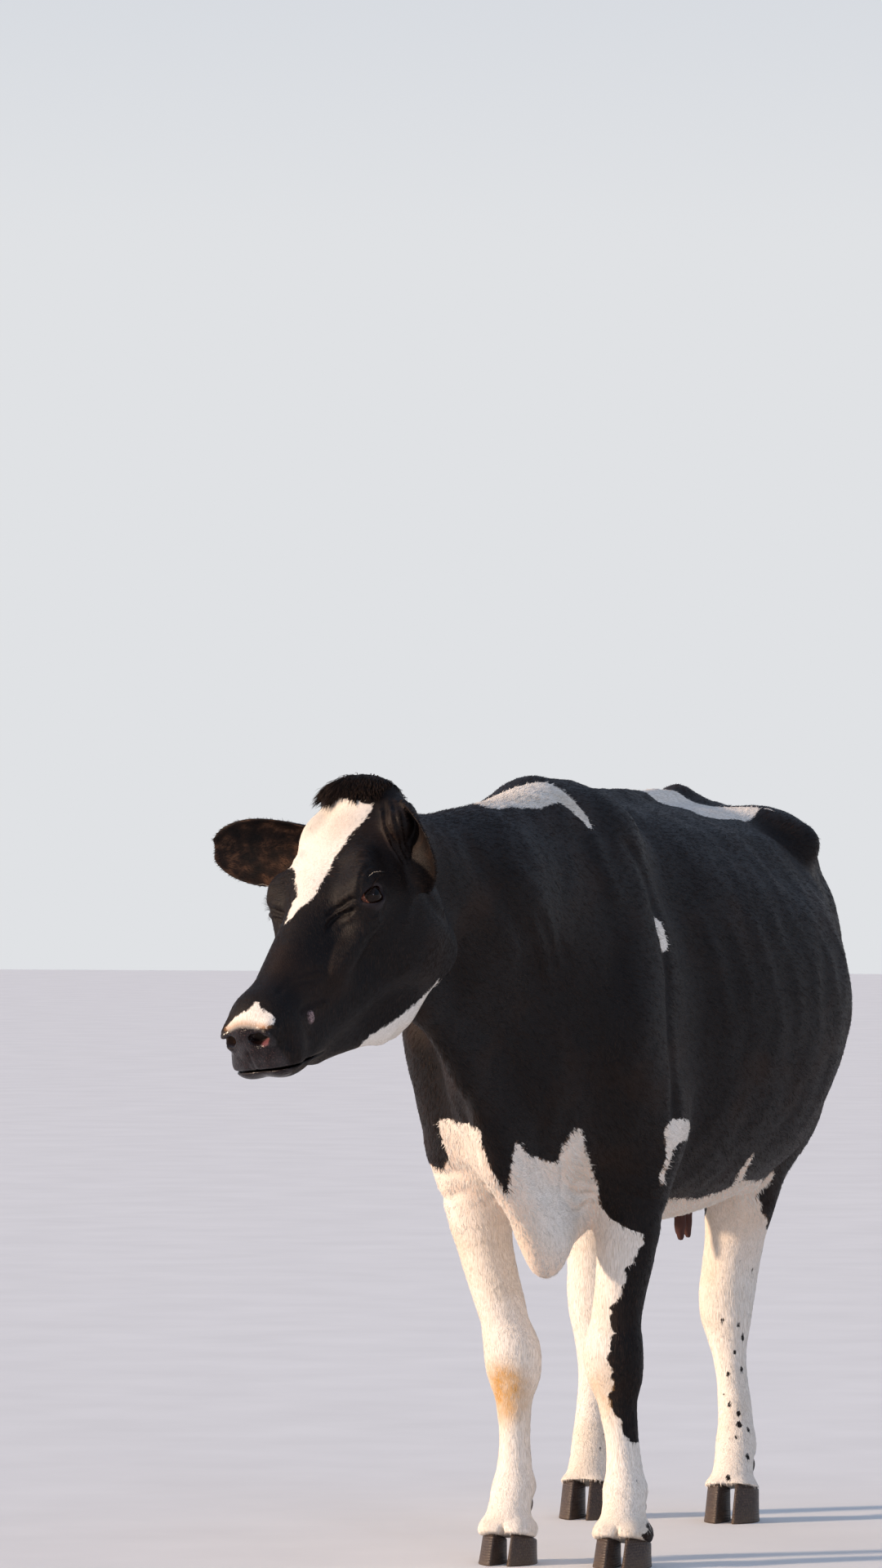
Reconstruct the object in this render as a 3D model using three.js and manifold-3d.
// A polled Holstein cow, life size, standing with its head turned to its own right.
// Millimetres, +Z up, floor at z = 0. The cow faces -Y, so its own left side is +X.
// While it is modelled, y = 0 is at the withers; the last step centres the whole on the floor.
import * as THREE from 'three';
import { mergeVertices } from 'three/addons/utils/BufferGeometryUtils.js';
import Module from 'manifold-3d';

const wasm = await Module();
wasm.setup();

// ---------------------------------------------------------------- driving sizes
const GAP = 0.3;
const WITHERS_HEIGHT = 1460;
const HOOK = { x: 250, y: 950, z: 1336 };
const PIN = { x: 105, y: 1385, z: 1262 };
const EYE_RADIUS = 22;
const HEAD_SIZE = 1.06;
const POLL = [-98, -815, 1450];
const HEAD_TURN = 19;
const HEAD_DROP = 46;
const HEAD_TILT = 7;
const TORSO_SIDES = 36;
const NECK_SIDES = 32;
const HEAD_SIDES = 34;
const LEG_SIDES = 14;

// The barrel, station by station from the chest to the rump.
const BARREL = {
  from: -300,
  step: 150,
  top: [1330, 1396, 1425, 1428, 1424, 1420, 1418, 1420, 1425, 1424, 1412, 1370],
  bottom: [800, 690, 655, 640, 627, 617, 612, 616, 652, 732, 850, 1010],
  half: [110, 160, 200, 250, 312, 360, 392, 401, 358, 292, 238, 160],
  level: [1080, 1060, 1040, 1030, 1025, 1020, 1025, 1038, 1066, 1105, 1140, 1190],
};

// The legs, station by station from inside the body down to the coronet.
const FORELEG = {
  z: [60, 90, 115, 145, 175, 230, 300, 340, 380, 415, 460, 560, 660, 780, 900],
  back: [-34, -24, -13, 0, 2, 2, 0, 0, -2, -2, 2, 8, 14, 22, 20],
  wide: [47, 42, 40, 42, 36, 31, 36, 49, 55, 54, 49, 54, 61, 70, 70],
  deep: [44, 40, 38, 42, 36, 32, 35, 42, 48, 50, 50, 58, 70, 88, 90],
};
const HINDLEG = {
  z: [60, 90, 115, 150, 190, 250, 315, 365, 405, 445, 485, 535, 605, 695, 800, 920],
  back: [-112, -98, -84, -62, -50, -32, -20, -12, -6, 2, 8, 5, -8, -38, -70, -70],
  wide: [47, 42, 40, 42, 36, 31, 34, 44, 53, 56, 56, 59, 68, 82, 98, 110],
  deep: [44, 40, 38, 43, 37, 33, 35, 42, 51, 60, 64, 62, 68, 88, 120, 140],
};
const LEGS = {
  left_fore: {
    shape: FORELEG,
    y: 82,
    x: [138, 138, 137, 135, 133, 128, 120, 116, 114, 114, 118, 132, 146, 160, 165],
  },
  right_fore: {
    shape: FORELEG,
    y: 86,
    x: [-84, -84, -83, -81, -81, -81, -82, -82, -83, -87, -103, -134, -160, -172, -172],
  },
  left_hind: {
    shape: HINDLEG,
    y: 1125,
    x: [97, 97, 96, 93, 89, 80, 70, 62, 58, 58, 62, 71, 86, 108, 140, 170],
  },
  right_hind: {
    shape: HINDLEG,
    y: 1120,
    x: [-200, -200, -201, -202, -204, -206, -208, -211, -214, -216, -215, -213, -208, -202, -192, -180],
  },
};

// ---------------------------------------------------------------- small vector helpers
const plus = (a, b, k = 1) => [a[0] + b[0] * k, a[1] + b[1] * k, a[2] + b[2] * k];
const scaled = (a, k) => [a[0] * k, a[1] * k, a[2] * k];
const dot = (a, b) => a[0] * b[0] + a[1] * b[1] + a[2] * b[2];
const cross = (a, b) => [
  a[1] * b[2] - a[2] * b[1],
  a[2] * b[0] - a[0] * b[2],
  a[0] * b[1] - a[1] * b[0],
];
const unit = (a) => scaled(a, 1 / Math.hypot(...a));
const squareTo = (a, line) => unit(plus(a, line, -dot(a, line)));
const mix = (a, b, t) => a + (b - a) * t;
const mixPoint = (a, b, t) => a.map((v, i) => mix(v, b[i], t));
const radians = (degrees) => (degrees * Math.PI) / 180;
const clamp = (v, low, high) => Math.min(high, Math.max(low, v));

// A direction from a turn to the cow's own right and a rise above level.
function heading(turn, rise) {
  const a = radians(turn);
  const b = radians(rise);
  return [-Math.sin(a) * Math.cos(b), -Math.cos(a) * Math.cos(b), Math.sin(b)];
}

// A smooth curve through evenly spaced values.
function along(values, position) {
  const at = clamp(position, 0, values.length - 1.000001);
  const i = Math.floor(at);
  const t = at - i;
  const v = (k) => values[clamp(k, 0, values.length - 1)];
  const [a, b, c, d] = [v(i - 1), v(i), v(i + 1), v(i + 2)];
  return b + 0.5 * t * (c - a + t * (2 * a - 5 * b + 4 * c - d + t * (3 * (b - c) + d - a)));
}

// ---------------------------------------------------------------- forms of flesh
// A form gives about the distance from a point to its skin, negative inside.
const FAR = 260;

const WORLD = [[1, 0, 0], [0, 1, 0], [0, 0, 1]];

function ball(centre, radii, blend, axes = WORLD) {
  return {
    blend,
    middle: centre,
    reach: Math.max(...radii),
    at(p) {
      const q = plus(p, centre, -1);
      const local = axes.map((axis) => dot(q, axis));
      const near = Math.hypot(...local.map((v, i) => v / radii[i]));
      const slope = Math.hypot(...local.map((v, i) => v / radii[i] ** 2));
      return slope < 1e-9 ? -Math.min(...radii) : (near * (near - 1)) / slope;
    },
  };
}

// A round bar between two points, tapering, and thinner along one direction if asked.
function limb(a, ra, b, rb, blend, thin = 1, across = [1, 0, 0]) {
  const line = plus(b, a, -1);
  const length2 = dot(line, line);
  return {
    blend,
    middle: mixPoint(a, b, 0.5),
    reach: Math.sqrt(length2) / 2 + Math.max(ra, rb),
    at(p) {
      const q = plus(p, a, -1);
      const t = clamp(dot(q, line) / length2, 0, 1);
      const off = plus(q, line, -t);
      const stretched = plus(off, across, dot(off, across) * (1 / thin - 1));
      return Math.hypot(...stretched) - mix(ra, rb, t);
    },
  };
}

function roundedBoth(a, b, r) {
  return Math.min(Math.max(a + r, b + r), 0) + Math.hypot(Math.max(a + r, 0), Math.max(b + r, 0)) - r;
}

const barrel = {
  blend: 60,
  middle: [0, 525, 1020],
  reach: 1000,
  at([x, y, z]) {
    const at = (y - BARREL.from) / BARREL.step;
    const level = along(BARREL.level, at);
    const high = z > level ? along(BARREL.top, at) - level : level - along(BARREL.bottom, at);
    const half = along(BARREL.half, at);
    const off = Math.hypot(x / half, (z - level) / high);
    const ends = Math.abs(y - 525) - 825;
    return roundedBoth((off - 1) * Math.min(half, high), ends, 60);
  },
};

// A leg is a column whose middle, width and depth change with height.
function legAt(leg, z) {
  const { z: levels, back, wide, deep } = leg.shape;
  const last = levels.length - 2;
  let i = 0;
  while (i < last && z > levels[i + 1]) i += 1;
  const at = i + clamp((z - levels[i]) / (levels[i + 1] - levels[i]), 0, 1);
  return {
    x: along(leg.x, at),
    y: leg.y + along(back, at),
    wide: along(wide, at),
    deep: along(deep, at),
  };
}

function column(leg) {
  const top = leg.shape.z[leg.shape.z.length - 1];
  return {
    blend: 45,
    middle: [leg.x[8], leg.y, top / 2],
    reach: top / 2 + 150,
    at([x, y, z]) {
      const s = legAt(leg, z);
      const off = Math.hypot((x - s.x) / s.wide, (y - s.y) / s.deep);
      return roundedBoth((off - 1) * Math.min(s.wide, s.deep), Math.abs(z - top / 2) - top / 2, 20);
    },
  };
}

// The point, and the string above it, that a hind leg carries behind the hock.
function hockString(leg) {
  const point = [leg.x[10], leg.y + 60, 487];
  return [
    limb(point, 21, [leg.x[12], leg.y + 52, 620], 18, 26, 0.8),
    limb([leg.x[12], leg.y + 52, 620], 18, [leg.x[14], leg.y + 40, 800], 40, 40),
  ];
}

const bothSides = (make) => [make(1), make(-1)];

// ---------------------------------------------------------------- torso
const torsoForms = [
  barrel,
  limb([0, -60, WITHERS_HEIGHT - 56], 48, [0, 150, WITHERS_HEIGHT - 66], 44, 70),
  limb([0, 150, 1422], 22, [0, 960, 1424], 24, 40),
  limb([0, 960, 1424], 24, [0, 1210, 1378], 30, 50),
  limb([0, 1210, 1378], 30, [0, 1370, 1362], 34, 50),
  ...bothSides((k) => limb([k * 90, 40, 1350], 56, [k * 142, -90, 1060], 76, 110)),
  ...bothSides((k) => ball([k * 156, 24, 985], [74, 140, 190], 90)),
  ...bothSides((k) => limb([k * 144, -90, 985], 64, [k * 156, 66, 800], 75, 90)),
  ...bothSides((k) => limb([k * HOOK.x, HOOK.y, HOOK.z], 32, [k * 30, HOOK.y + 40, 1394], 26, 42)),
  ...bothSides((k) => ball([k * 160, 996, 1368], [84, 96, 47], 46)),
  ...bothSides((k) => limb([k * HOOK.x, HOOK.y, HOOK.z], 26, [k * PIN.x, PIN.y, PIN.z], 46, 60)),
  ...bothSides((k) => ball([k * 154, 1130, 1040], [124, 232, 305], 90)),
  ...bothSides((k) => limb([k * 182, 950, 862], 68, [k * 144, 1110, 800], 78, 70)),
  ...bothSides((k) => limb([k * 195, 930, 800], 46, [k * 190, 790, 700], 20, 70, 0.6)),
  limb([36, 20, 652], 58, [34, -100, 618], 66, 50, 0.55),
  limb([34, -100, 618], 66, [0, -250, 800], 74, 60, 0.55),
];

// ---------------------------------------------------------------- neck
const crestForms = [
  limb([0, -60, 1190], 200, [-25, -380, 1235], 158, 100, 0.84),
  limb([-25, -380, 1228], 156, [-80, -690, 1286], 108, 80, 0.86),
  limb([0, -100, 1336], 70, [-40, -450, 1308], 44, 90),
  limb([-40, -450, 1306], 44, [-88, -720, 1330], 48, 70),
];
const throatForms = [
  limb([0, -170, 980], 150, [-35, -430, 1090], 92, 100, 0.66),
  limb([0, -250, 800], 70, [-20, -420, 950], 44, 60, 0.6),
  limb([-20, -420, 950], 44, [-60, -600, 1085], 44, 60, 0.6),
  limb([-60, -600, 1085], 44, [-92, -740, 1160], 52, 60, 0.7),
];
const neckForms = [...crestForms, ...throatForms];

// ---------------------------------------------------------------- head
const FACE = heading(HEAD_TURN, -HEAD_DROP);
const LEVEL_BROW = heading(HEAD_TURN, 90 - HEAD_DROP);
const LEVEL_LEFT = cross(LEVEL_BROW, FACE);
const tilted = (a, b, degrees) => plus(scaled(a, Math.cos(radians(degrees))), b, Math.sin(radians(degrees)));
const LEFT = tilted(LEVEL_LEFT, LEVEL_BROW, HEAD_TILT);
const BROW = tilted(LEVEL_BROW, LEVEL_LEFT, -HEAD_TILT);
const HEAD_AXES = [LEFT, FACE, BROW];

// A point on the head: to its left, down the face from the poll, and out from the forehead.
const headWay = (s, f, n) => plus(plus(scaled(LEFT, s), FACE, f), BROW, n);
const onHead = (s, f, n) => plus(POLL, headWay(s, f, n), HEAD_SIZE);
const headBall = (s, f, n, radii, blend) => ball(onHead(s, f, n), scaled(radii, HEAD_SIZE), blend, HEAD_AXES);
const headLimb = (a, ra, b, rb, blend, thin = 1) =>
  limb(onHead(...a), ra * HEAD_SIZE, onHead(...b), rb * HEAD_SIZE, blend, thin, LEFT);

const EYE = { s: 97, f: 218, n: -58 };
const headForms = [
  headBall(0, 72, -86, [90, 98, 84], 40),
  headBall(-24, 6, -30, [78, 40, 42], 40),
  headBall(0, 160, -76, [100, 112, 72], 40),
  headLimb([0, 240, -60], 52, [0, 450, -64], 36, 40),
  headLimb([0, 260, -112], 64, [0, 460, -104], 49, 40),
  headBall(0, 480, -80, [66, 57, 61], 34),
  headBall(0, 505, -109, [66, 43, 37], 26),
  ...bothSides((k) => headLimb([k * 54, 176, -200], 52, [k * 26, 430, -150], 28, 40, 0.8)),
  ...bothSides((k) => headBall(k * 70, 165, -168, [38, 92, 96], 40)),
  headBall(0, 458, -150, [46, 54, 29], 30),
  headLimb([0, 424, -188], 26, [0, 256, -276], 48, 46, 0.85),
  headLimb([0, 256, -276], 48, [0, 118, -280], 64, 60),
  ...bothSides((k) => headBall(k * 78, 212, -58, [34, 46, 40], 26)),
  ...bothSides((k) => headLimb([k * 72, 160, -30], 22, [k * 94, 204, -36], 16, 24)),
  ...bothSides((k) => headLimb([k * 88, 246, -88], 18, [k * 58, 340, -104], 22, 34)),
];

const trunkForms = [...torsoForms, ...neckForms, ...headForms];

function distance(forms, p) {
  let d = FAR;
  for (const form of forms) {
    if (Math.hypot(...plus(p, form.middle, -1)) > form.reach + FAR) continue;
    const e = form.at(p);
    const h = Math.max(form.blend - Math.abs(d - e), 0);
    d = Math.min(d, e) - (h * h) / (4 * form.blend);
  }
  return d;
}

// How far out along a direction the skin is, found from the outside in.
function reachAlong(forms, origin, direction, limit, grow) {
  const step = 9;
  let out = limit;
  while (out > step && distance(forms, plus(origin, direction, out)) > grow) out -= step;
  let [low, high] = [out, Math.min(out + step, limit)];
  for (let i = 0; i < 12; i += 1) {
    const middle = (low + high) / 2;
    if (distance(forms, plus(origin, direction, middle)) > grow) high = middle;
    else low = middle;
  }
  return low;
}

// ---------------------------------------------------------------- rings and solids
function toMesh(vertices, faces) {
  const geometry = new THREE.BufferGeometry();
  geometry.setAttribute('position', new THREE.Float32BufferAttribute(vertices.flat(), 3));
  geometry.setIndex(faces.flat());
  return geometry;
}

// Closed rings of equal count, stitched; an end is a fan from its middle, or a strip across a flat ring.
function stitch(rings, ends = ['fan', 'fan']) {
  const n = rings[0].length;
  const vertices = rings.flat();
  const faces = [];
  for (let i = 0; i + 1 < rings.length; i += 1) {
    for (let j = 0; j < n; j += 1) {
      const [a, b] = [i * n + j, i * n + ((j + 1) % n)];
      faces.push([a, b, b + n], [a, b + n, a + n]);
    }
  }
  ends.forEach((end, side) => {
    const ring = side === 0 ? rings[0] : rings[rings.length - 1];
    const start = side === 0 ? 0 : (rings.length - 1) * n;
    const put = (a, b, c) => faces.push(side === 0 ? [a, c, b] : [a, b, c]);
    if (end === 'strip') {
      for (let j = 0; j + 1 < n / 2; j += 1) {
        const [a, b, c, d] = [j, j + 1, n - 2 - j, n - 1 - j];
        put(start + a, start + b, start + c);
        if (d !== a) put(start + a, start + c, start + d);
      }
      return;
    }
    const middle = end === 'fan' ? ring.reduce((sum, p) => plus(sum, p, 1 / n), [0, 0, 0]) : end;
    const hub = vertices.push(middle) - 1;
    for (let j = 0; j < n; j += 1) put(start + j, start + ((j + 1) % n), hub);
  });
  return toMesh(vertices, faces);
}

function toSolid(geometry) {
  const plain = geometry.clone();
  plain.deleteAttribute('normal');
  plain.deleteAttribute('uv');
  const merged = mergeVertices(plain, 1e-3);
  const vertProperties = new Float32Array(merged.attributes.position.array);
  const triVerts = new Uint32Array(merged.index.array);
  return new wasm.Manifold(new wasm.Mesh({ numProp: 3, vertProperties, triVerts }));
}

function toGeometry(solid) {
  const { vertProperties, triVerts } = solid.getMesh();
  const geometry = new THREE.BufferGeometry();
  geometry.setAttribute('position', new THREE.BufferAttribute(new Float32Array(vertProperties), 3));
  geometry.setIndex(new THREE.BufferAttribute(new Uint32Array(triVerts), 1));
  return geometry;
}

const largest = (solid) => solid.decompose().reduce((a, b) => (a.volume() > b.volume() ? a : b));
const joined = (solids) => solids.reduce((a, b) => a.add(b));

// A ring of skin points: where it is seen from, which way it faces, and how far its rays lean forward.
function skinRing(forms, { origin, turn, rise, lean = 0 }, sides, limit, grow) {
  const facing = heading(turn, rise);
  const side = heading(turn - 90, 0);
  const up = cross(facing, side);
  const ring = [];
  for (let j = 0; j < sides; j += 1) {
    const a = (j / sides) * 2 * Math.PI;
    const flat = plus(scaled(side, Math.cos(a)), up, Math.sin(a));
    const ray = plus(scaled(flat, Math.cos(radians(lean))), facing, Math.sin(radians(lean)));
    ring.push(plus(origin, ray, reachAlong(forms, origin, ray, limit, grow)));
  }
  return ring;
}

const ahead = (key, by) => ({ ...key, origin: plus(key.origin, heading(key.turn, key.rise), by) });

// Stations from key to key, with a few rings in each stretch.
function stations(keys) {
  const list = [];
  keys.forEach((key, i) => {
    list.push({ lean: 0, ...key });
    const next = keys[i + 1];
    for (let k = 1; next && k < key.rings; k += 1) {
      const t = k / key.rings;
      list.push({
        origin: mixPoint(key.origin, next.origin, t),
        turn: mix(key.turn, next.turn, t),
        rise: mix(key.rise, next.rise, t),
        lean: mix(key.lean ?? 0, next.lean ?? 0, t),
      });
    }
  });
  return list;
}

// Grown, a piece is also that much longer at each flat end.
function trunkPiece(forms, keys, sides, limit, ends, grow) {
  const last = keys.length - 1;
  const list = stations(keys.map((key, i) => ahead(key, grow * ((i === last) - (i === 0)))));
  const rings = list.map((station) => skinRing(forms, station, sides, limit, grow));
  const closed = ends.map((end, i) => {
    if (end !== 'pole') return end;
    const station = list[i === 0 ? 0 : list.length - 1];
    const ray = scaled(heading(station.turn, station.rise), i === 0 ? -1 : 1);
    return plus(station.origin, ray, reachAlong(forms, station.origin, ray, limit, grow));
  });
  return stitch(rings, closed);
}

// The neck is cut from the torso and from the head by thin flat gaps.
const NECK_BASE = { origin: [0, -230, 1090], turn: 4, rise: 20, rings: 3 };
const NECK_END = { origin: onHead(0, 35, -130), turn: HEAD_TURN, rise: -14, rings: 4 };
const RUMP = { origin: [0, 1140, 1080], turn: 0, rise: 0 };

const TORSO_KEYS = [
  { ...RUMP, lean: -78, rings: 7 },
  { ...RUMP, lean: 0, rings: 19 },
  { origin: [0, -60, 1050], turn: 0, rise: 0, rings: 5 },
  ahead(NECK_BASE, -GAP / 2),
];
const NECK_KEYS = [
  ahead(NECK_BASE, GAP / 2),
  { origin: [-24, -400, 1185], turn: 10, rise: 24, rings: 3 },
  { origin: [-60, -600, 1290], turn: 16, rise: 12, rings: 3 },
  ahead(NECK_END, -GAP / 2),
];
const HEAD_KEYS = [
  ahead(NECK_END, GAP / 2),
  { origin: onHead(0, 120, -112), turn: HEAD_TURN, rise: -30, rings: 4 },
  { origin: onHead(0, 215, -104), turn: HEAD_TURN, rise: 4 - HEAD_DROP, rings: 6 },
  { origin: onHead(0, 340, -96), turn: HEAD_TURN, rise: -HEAD_DROP, rings: 6 },
  { origin: onHead(0, 455, -90), turn: HEAD_TURN, rise: -HEAD_DROP, rings: 7 },
  { origin: onHead(0, 468, -92), turn: HEAD_TURN, rise: -HEAD_DROP, lean: 76 },
];

const bodyForms = [...torsoForms, ...neckForms];
const skullForms = [...crestForms, ...headForms];
const torsoShape = (grow) => trunkPiece(bodyForms, TORSO_KEYS, TORSO_SIDES, 800, ['pole', 'fan'], grow);
const neckShape = (grow) => trunkPiece(trunkForms, NECK_KEYS, NECK_SIDES, 520, ['fan', 'fan'], grow);
const headShape = (grow) => trunkPiece(skullForms, HEAD_KEYS, HEAD_SIDES, 330, ['fan', 'pole'], grow);

// ---------------------------------------------------------------- small shapes
// A round or squashed blob placed in a frame of three axes.
function blob(centre, radii, [x, y, z], wide = 16, high = 10) {
  const geometry = new THREE.SphereGeometry(1, wide, high);
  const matrix = new THREE.Matrix4().makeBasis(
    new THREE.Vector3(...x).multiplyScalar(radii[0]),
    new THREE.Vector3(...y).multiplyScalar(radii[1]),
    new THREE.Vector3(...z).multiplyScalar(radii[2]),
  );
  matrix.setPosition(...centre);
  return toSolid(geometry.applyMatrix4(matrix));
}

const HEAD_FRAME = [scaled(LEFT, -1), FACE, BROW];

// A tube along points, each with its own radius.
function tube(points, radii, sides) {
  const rings = points.map((p, i) => {
    const before = points[Math.max(i - 1, 0)];
    const after = points[Math.min(i + 1, points.length - 1)];
    const line = unit(plus(after, before, -1));
    const side = unit(cross(line, [0.31, 0.94, 0.12]));
    const up = cross(line, side);
    const ring = [];
    for (let j = 0; j < sides; j += 1) {
      const a = (j / sides) * 2 * Math.PI;
      ring.push(plus(plus(p, side, radii[i] * Math.cos(a)), up, radii[i] * Math.sin(a)));
    }
    return ring;
  });
  return toSolid(stitch(rings));
}

// A seeded draw, the same every time.
function drawer(seed) {
  let state = seed;
  return (low, high) => {
    state = (state * 1664525 + 1013904223) % 4294967296;
    return low + (high - low) * (state / 4294967296);
  };
}

// A flat tapered lock of hair through points; flat across one direction.
function lock(points, width, thickness, across) {
  const rings = points.map((p, i) => {
    const t = i / (points.length - 1);
    const line = unit(plus(points[Math.min(i + 1, points.length - 1)], points[Math.max(i - 1, 0)], -1));
    const side = unit(cross(line, cross(across, line)));
    const out = cross(line, side);
    const w = (width / 2) * (0.75 + 0.5 * Math.sin(Math.PI * Math.min(t * 1.3, 1))) * (1 - t ** 2.2 * 0.93);
    const h = (thickness / 2) * (1 - 0.85 * t);
    return [plus(p, side, w), plus(p, out, h), plus(p, side, -w), plus(p, out, -h)];
  });
  return toSolid(stitch(rings));
}

// ---------------------------------------------------------------- the scene graph
const cow = new THREE.Group();

function addNode(name, geometry, color, roughness = 0.8) {
  const material = new THREE.MeshStandardMaterial({ color, roughness, metalness: 0 });
  const mesh = new THREE.Mesh(geometry, material);
  mesh.name = name;
  cow.add(mesh);
}

const COAT_BLACK = 0x1c1716;
const COAT_WHITE = 0xefe6da;
const SKIN_PINK = 0xb98d80;
const EYE_BROWN = 0x2a1710;
const CLAW_HORN = 0x6f6250;

const torsoGrown = toSolid(torsoShape(GAP));
addNode('torso', torsoShape(0), COAT_BLACK);
addNode('neck', neckShape(0), COAT_BLACK);

// ---------------------------------------------------------------- head, lids and eyes
const headGrown = toSolid(headShape(GAP));
const eyeAt = (k) => onHead(k * EYE.s, EYE.f, EYE.n);
const eyeball = (k, radius, wide, high) => blob(eyeAt(k), [radius, radius, radius], HEAD_FRAME, wide, high);
const LID = { radius: 29, upper: 35, lower: 30, slant: 0.55 };

// A lid is a piece of a shell round the eyeball, kept beyond a plane that opens from its corners.
function lid(k, side) {
  const shell = eyeball(k, LID.radius, 16, 10).subtract(eyeball(k, EYE_RADIUS + GAP, 16, 10));
  const outward = unit(headWay(k, 0, 0.25));
  const upward = squareTo(headWay(0, -LID.slant, 1), outward);
  const open = radians(side > 0 ? LID.upper : LID.lower);
  const away = plus(scaled(upward, side * Math.cos(open)), outward, -Math.sin(open));
  return shell.trimByPlane(away, dot(away, eyeAt(k)));
}

const NOSTRIL = { s: 33, f: 526, n: -61, radii: [9.5, 18, 24] };
function nostril(k) {
  const inward = unit(headWay(-k * 0.42, -1, -0.1));
  const long = squareTo(headWay(k, 0, 0.12), inward);
  const short = cross(long, inward);
  const centre = onHead(k * NOSTRIL.s, NOSTRIL.f, NOSTRIL.n);
  return blob(centre, NOSTRIL.radii, [short, long, cross(short, long)], 12, 8);
}

// The mouth is a thin cut that rises towards the front and leaves the middle of the lips joined.
const MOUTH = { f: 440, n: -179, rise: 0.68, reach: 106, inner: 38, outer: 95, gape: 3, steps: 8 };
function mouthLine() {
  const outline = new THREE.Shape();
  outline.moveTo(-MOUTH.outer, 0);
  for (let i = 0; i <= MOUTH.steps; i += 1) {
    const a = Math.PI - (i / MOUTH.steps) * Math.PI;
    outline.lineTo(MOUTH.inner * Math.cos(a), MOUTH.reach * Math.sin(a));
  }
  outline.lineTo(MOUTH.outer, 0);
  outline.lineTo(MOUTH.outer, MOUTH.reach * 2);
  outline.lineTo(-MOUTH.outer, MOUTH.reach * 2);
  const plate = new THREE.ExtrudeGeometry(outline, { depth: MOUTH.gape, bevelEnabled: false });
  const forward = unit(headWay(0, 1, MOUTH.rise));
  const axes = [HEAD_FRAME[0], forward, cross(HEAD_FRAME[0], forward)];
  const matrix = new THREE.Matrix4().makeBasis(...axes.map((axis) => new THREE.Vector3(...axis)));
  matrix.setPosition(...onHead(0, MOUTH.f, MOUTH.n));
  return toSolid(plate.applyMatrix4(matrix));
}

let head = toSolid(headShape(0));
for (const k of [1, -1]) {
  head = head.subtract(eyeball(k, EYE_RADIUS + GAP, 16, 10));
  head = head.add(lid(k, 1)).add(lid(k, -1)).subtract(nostril(k));
}
head = head.subtract(mouthLine());
addNode('head', toGeometry(largest(head)), COAT_BLACK);
for (const [name, k] of [['left', 1], ['right', -1]]) {
  addNode(`${name}_eye`, toGeometry(eyeball(k, EYE_RADIUS, 16, 10)), EYE_BROWN, 0.1);
}

// ---------------------------------------------------------------- ears
const EAR = { thickness: 5, sunk: 22, steps: 9, across: 7, flat: 38, rolled: 108 };
const EARS = {
  left_ear: {
    half: 50,
    root: [70, 48, -38],
    bow: [139, 136, -34],
    tip: [117, 144, -130],
    cup: [0.3, 0.75, 0.4],
  },
  right_ear: {
    half: 62,
    root: [-88, 74, -88],
    bow: [-182, 96, -50],
    tip: [-278, 108, -14],
    cup: [0.27, 0.86, 0.43],
  },
};

// A cupped leaf along a bent line, rolled at the root and flatter at the tip.
function ear({ half, root, bow, tip, cup }) {
  const rings = [];
  for (let i = 0; i <= EAR.steps; i += 1) {
    const t = i / EAR.steps;
    const before = mixPoint(onHead(...root), onHead(...bow), t);
    const after = mixPoint(onHead(...bow), onHead(...tip), t);
    const line = unit(plus(after, before, -1));
    const open = squareTo(headWay(...cup), line);
    const side = cross(open, line);
    const middle = plus(mixPoint(before, after, t), line, i === 0 ? -EAR.sunk : 0);
    const swell = 0.62 + 0.38 * Math.sin((Math.min(t / 0.55, 1) * Math.PI) / 2);
    const reach = half * swell * Math.sqrt(1 - Math.max((t - 0.55) / 0.47, 0) ** 2);
    const bend = radians(mix(EAR.rolled, EAR.flat, t ** 0.7));
    const radius = reach / Math.sin(Math.min(bend, Math.PI / 2));
    const wall = EAR.thickness * (1.1 - 0.4 * t);
    const edge = (r, v) =>
      plus(plus(middle, side, r * Math.sin(v * bend)), open, radius * Math.cos(bend) - r * Math.cos(v * bend));
    const spread = Array.from({ length: EAR.across }, (_, j) => (2 * j) / (EAR.across - 1) - 1);
    const back = spread.map((v) => edge(radius + wall, v));
    const hollow = spread.map((v) => edge(radius, -v * 0.96));
    rings.push([...back, ...hollow]);
  }
  return toSolid(stitch(rings, ['strip', 'strip']));
}

const neckGrown = toSolid(neckShape(GAP));
for (const [name, shape] of Object.entries(EARS)) {
  addNode(name, toGeometry(largest(ear(shape).subtract(headGrown).subtract(neckGrown))), COAT_BLACK);
}

// ---------------------------------------------------------------- legs and claws
const CORONET = { back: 41, rise: 0.24 };
const CLAW = { apart: 28, half: 26, long: 58, sides: 14 };
const DEWCLAW = { z: 108, apart: 21, radii: [12, 15, 20] };
const LEG_TOP = 855;
const KNEE_CUT = 338;
const HOCK_CUT = 430;

function legRing(leg, z, forms, grow, place) {
  const s = legAt(leg, z);
  const ring = [];
  for (let j = 0; j < LEG_SIDES; j += 1) {
    const a = (j / LEG_SIDES) * 2 * Math.PI;
    const ray = [Math.cos(a), Math.sin(a), 0];
    const p = plus([s.x, s.y, z], ray, reachAlong(forms, [s.x, s.y, z], ray, 190, grow));
    ring.push([p[0], p[1], place ? place(p) : z]);
  }
  return ring;
}

// The slanted plane where hair meets horn: higher at the toe than at the heel.
const coronetHeight = (leg) => (p) => CORONET.back + (leg.y + 5 - p[1]) * CORONET.rise + GAP;

function legPiece(leg, forms, low, high, spacing, grow, foot) {
  const count = Math.round((high - low) / spacing);
  const rings = [];
  for (let i = 0; i <= count; i += 1) {
    const z = mix(low, high, i / count);
    const atFoot = foot && i === 0;
    rings.push(legRing(leg, z, forms, grow, atFoot ? coronetHeight(leg) : null));
  }
  return toSolid(stitch(rings));
}

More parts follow.
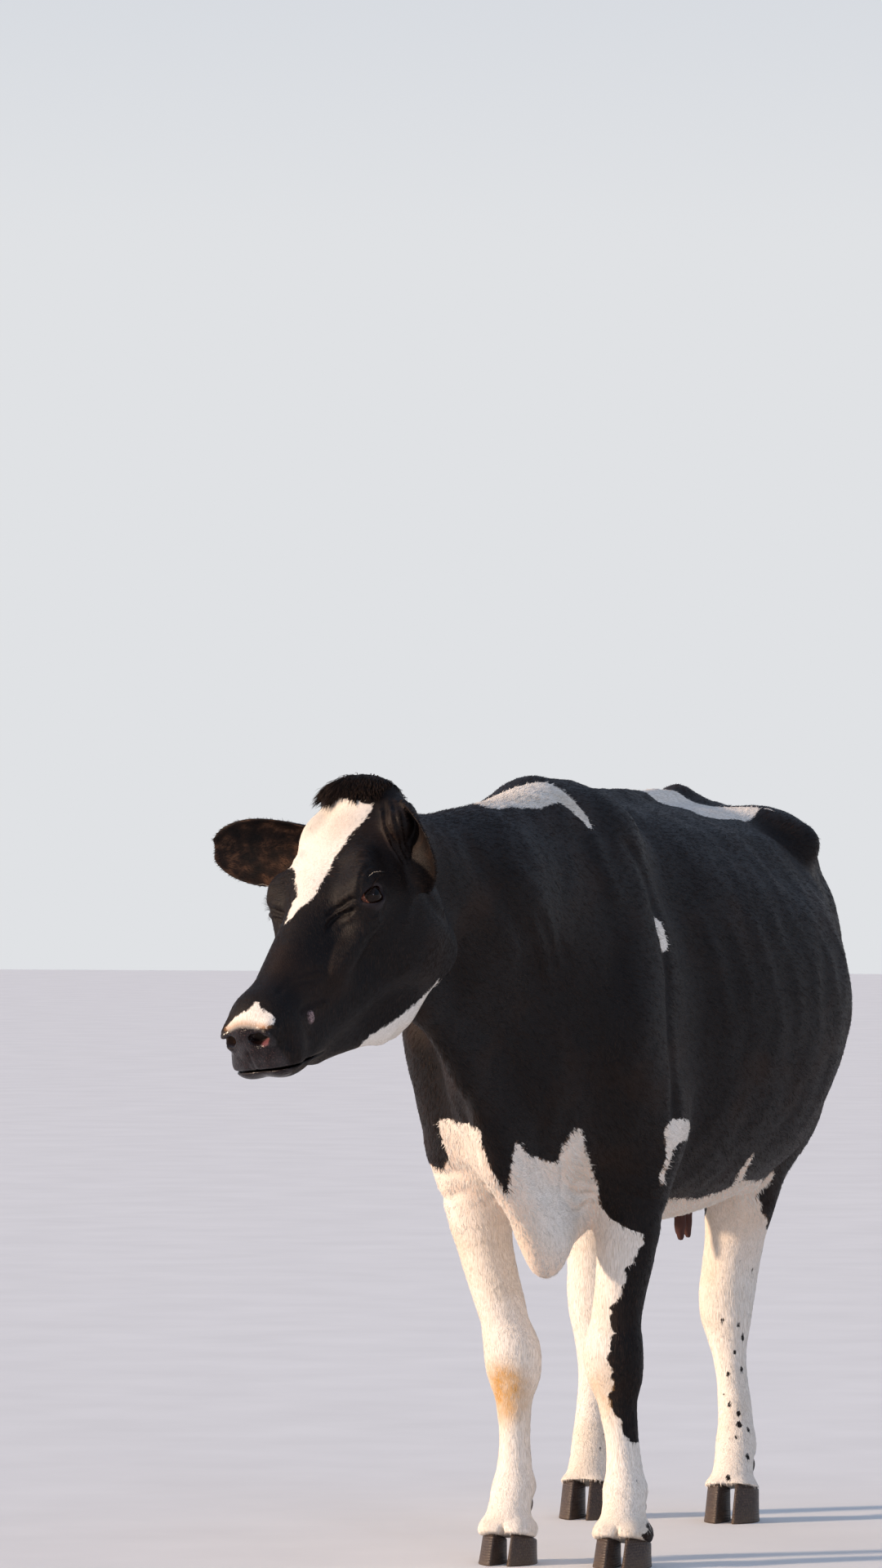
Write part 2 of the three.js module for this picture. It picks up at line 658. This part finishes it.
function claw(leg, k) {
  const toe = legAt(leg, 60);
  const rings = [0, 0.14, 0.55, 1].map((t) => {
    const ring = [];
    for (let j = 0; j < CLAW.sides; j += 1) {
      const a = (j / CLAW.sides) * 2 * Math.PI;
      const forward = -Math.sin(a);
      const inner = Math.cos(a) * k < 0 ? 0.88 : 1;
      const narrow = forward > 0 ? 1 - 0.45 * forward ** 2 : 1;
      const x = toe.x + k * CLAW.apart + Math.cos(a) * CLAW.half * inner * narrow * (1 - 0.08 * t);
      const y = toe.y - 2 + 14 * t - forward * CLAW.long * (1 - 0.26 * t);
      ring.push([x, y, t * (coronetHeight(leg)([x, y]) - GAP)]);
    }
    return ring;
  });
  return toGeometry(toSolid(stitch(rings)));
}

const legCutters = [];
for (const [name, leg] of Object.entries(LEGS)) {
  const hind = leg.shape === HINDLEG;
  const forms = hind ? [column(leg), ...hockString(leg)] : [column(leg)];
  const cut = hind ? HOCK_CUT : KNEE_CUT;
  const low = leg.shape.z[0];
  let shank = legPiece(leg, forms, low, cut - GAP / 2, 38, 0, true);
  for (const k of [1, -1]) {
    const s = legAt(leg, DEWCLAW.z);
    const at = [s.x + k * DEWCLAW.apart, s.y + s.deep - 2, DEWCLAW.z];
    shank = shank.add(blob(at, DEWCLAW.radii, WORLD, 8, 6));
  }
  addNode(`${name}_cannon`, toGeometry(largest(shank)), COAT_WHITE);
  const upper = legPiece(leg, forms, cut + GAP / 2, LEG_TOP, 44, 0, false).subtract(torsoGrown);
  addNode(`${name}_${hind ? 'gaskin' : 'forearm'}`, toGeometry(largest(upper)), COAT_WHITE);
  legCutters.push(legPiece(leg, forms, cut + GAP / 2, LEG_TOP, 44, GAP, false));
  const outer = Math.sign(leg.x[leg.x.length - 1]);
  addNode(`${name}_outer_claw`, claw(leg, outer), CLAW_HORN, 0.5);
  addNode(`${name}_inner_claw`, claw(leg, -outer), CLAW_HORN, 0.5);
}

// ---------------------------------------------------------------- udder
const UDDER = { centre: [-30, 958, 694], radii: [98, 118, 84] };
const TEAT = {
  places: [[50, -52], [-50, -52], [42, 34], [-42, 34]],
  z: [652, 590, 566, 556],
  radii: [15, 11, 9, 5],
  lean: [1, 1, 1.05, 1.06],
};
let udder = blob(UDDER.centre, UDDER.radii, WORLD, 18, 12);
for (const [dx, dy] of TEAT.places) {
  const line = TEAT.z.map((z, i) => [UDDER.centre[0] + dx * TEAT.lean[i], UDDER.centre[1] + dy - i, z]);
  udder = udder.add(tube(line, TEAT.radii, 8));
}
udder = legCutters.reduce((solid, leg) => solid.subtract(leg), udder.subtract(torsoGrown));
addNode('udder', toGeometry(largest(udder)), SKIN_PINK);

// ---------------------------------------------------------------- tail and switch
// Points down the dock and tail, each with its radius.
const TAIL = [
  [0, 1290, 1372, 40],
  [0, 1362, 1378, 36],
  [0, 1408, 1345, 31],
  [0, 1424, 1270, 26],
  [0, 1420, 1150, 22],
  [-4, 1412, 1010, 19],
  [-8, 1408, 870, 16],
  [-10, 1408, 760, 15],
  [-10, 1408, 700, 15],
];
const spindle = (table, sides) => tube(table.map((row) => row.slice(0, 3)), table.map((row) => row[3]), sides);
addNode('tail', toGeometry(largest(spindle(TAIL, 10).subtract(torsoGrown))), COAT_BLACK);

const SWITCH = { x: -10, y: 1408, top: 700 - GAP, length: 360, locks: 15 };
const draw = drawer(7);
const switchAt = (down, out, a) =>
  plus([SWITCH.x, SWITCH.y, SWITCH.top - down], [Math.cos(a), Math.sin(a), 0], out);
const switchCore = [[0, 16], [30, 21], [70, 22], [120, 16], [175, 5]];
const switchPieces = [spindle(switchCore.map(([down, radius]) => [...switchAt(down, 0, 0), radius]), 10)];
for (let i = 0; i < SWITCH.locks; i += 1) {
  const a = i * 1.1 + draw(-0.2, 0.2);
  const start = draw(18, 105);
  const length = draw(0.62, 1) * (SWITCH.length - start);
  const flare = draw(24, 44);
  const line = [
    switchAt(start, 9, a),
    switchAt(start + length * 0.25, 27, a),
    switchAt(start + length * 0.6, flare, a),
    switchAt(start + length, flare * draw(0.3, 0.8), a),
  ];
  switchPieces.push(lock(line, draw(22, 30), draw(8, 11), [-Math.sin(a), Math.cos(a), 0]));
}
addNode('tail_switch', toGeometry(largest(joined(switchPieces))), COAT_WHITE);

// ---------------------------------------------------------------- topknot
const TOPKNOT = {
  middle: [-24, 6, -33],
  radii: [76, 50, 50],
  locks: 13,
  half: 56,
  from: [-20, 40, -90],
};
const topknotPieces = [blob(onHead(...TOPKNOT.middle), TOPKNOT.radii, HEAD_FRAME, 14, 8)];
for (let i = 0; i < TOPKNOT.locks; i += 1) {
  const s = TOPKNOT.half * ((2 * i + 1) / TOPKNOT.locks - 1) + draw(-4, 4);
  const out = unit(headWay(s * 0.9, draw(-54, 2), 92));
  const origin = onHead(...TOPKNOT.from);
  const skin = plus(origin, out, reachAlong(skullForms, origin, out, 200, 0));
  const fall = unit(headWay(s * 0.006, 1, 0.02));
  const length = draw(38, 58);
  const lift = draw(10, 16);
  const line = [
    plus(skin, out, -6),
    plus(skin, out, lift * 0.8),
    plus(plus(skin, out, lift), fall, length * 0.45),
    plus(plus(skin, out, lift * 0.75), fall, length),
  ];
  topknotPieces.push(lock(line, draw(19, 25), draw(7, 10), LEFT));
}
const topknot = joined(topknotPieces).subtract(headGrown).subtract(neckGrown);
addNode('topknot', toGeometry(largest(topknot)), COAT_BLACK);

// The whole is set over the middle of its own box, with the soles on the floor.
const box = new THREE.Box3().setFromObject(cow);
cow.position.set(-(box.min.x + box.max.x) / 2, -(box.min.y + box.max.y) / 2, 0);

export default cow;
